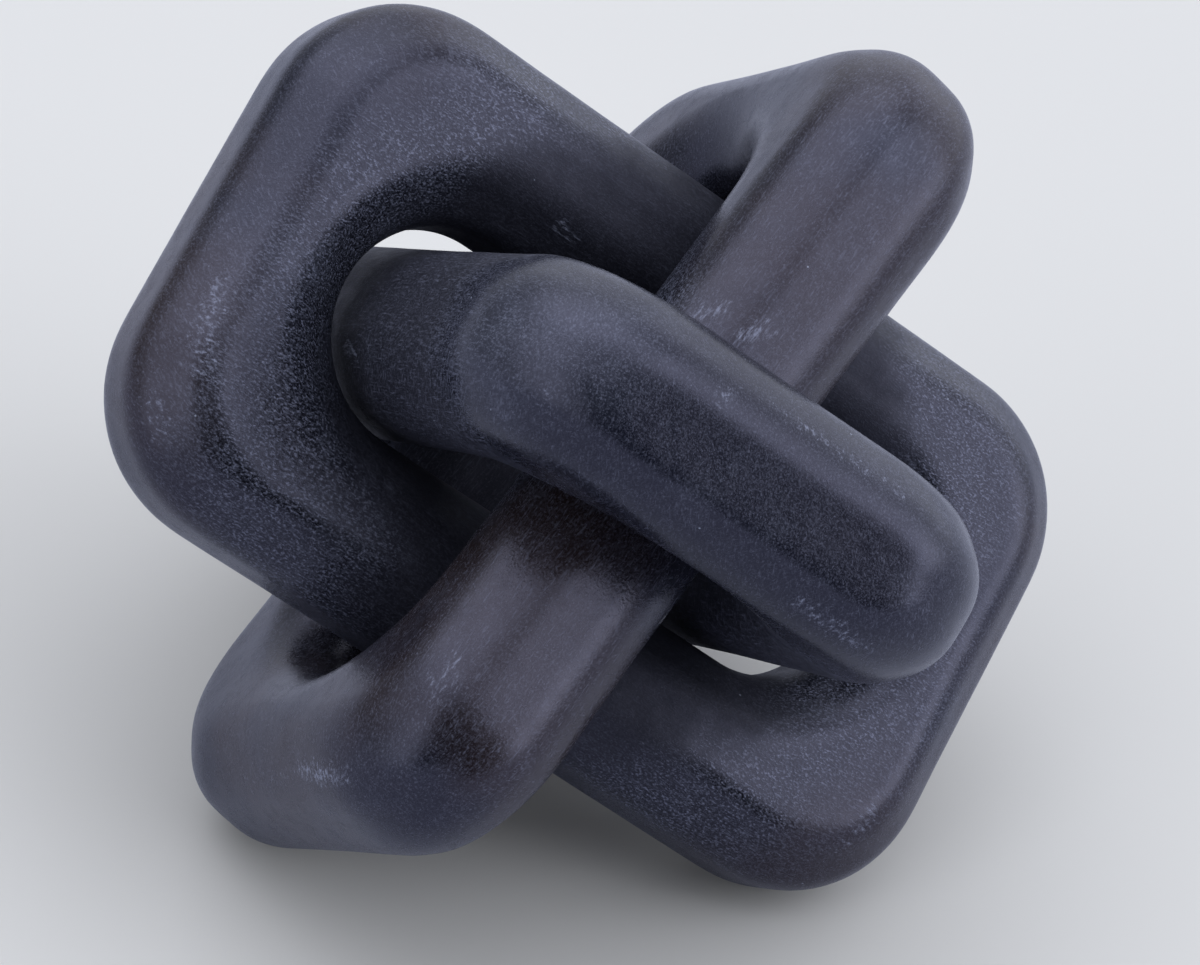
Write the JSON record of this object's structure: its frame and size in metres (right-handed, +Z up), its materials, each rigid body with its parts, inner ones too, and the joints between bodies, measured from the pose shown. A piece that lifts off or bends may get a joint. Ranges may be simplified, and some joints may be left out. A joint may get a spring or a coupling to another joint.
{
  "type": "knot sculpture",
  "caption": "Desk ornament of oblong black stone links with soft bevelled edges, each passing loosely through the next, standing on the links' outer corners.",
  "frame": {"origin": "middle of the bounding box, on the floor that the links' lowest corners stand on", "axes": "+Z up from the floor, -Y to the front, which the front link's end bar faces, +X to the right seen from there"},
  "size_m": [0.126, 0.132, 0.1048],
  "materials": {
    "black_marble": "honed, satin"
  },
  "bodies": {
    "broad_link": {"broad_link": "black_marble"},
    "rising_link": {"rising_link": "black_marble"},
    "front_link": {"front_link": "black_marble"}
  },
  "joints": [
    {"name": "rising_lean", "type": "hinge", "parent": "broad_link", "child": "rising_link", "pos_m": [-0.00186, 0, 0.05233], "axis": [0.4125, -0.6602, 0.6277], "range_deg": [0, 18]},
    {"name": "front_lean", "type": "hinge", "parent": "broad_link", "child": "front_link", "pos_m": [-0.00166, -0.00078, 0.05239], "axis": [0.8577, 0.0495, -0.5117], "range_deg": [-11, 0]}
  ]
}
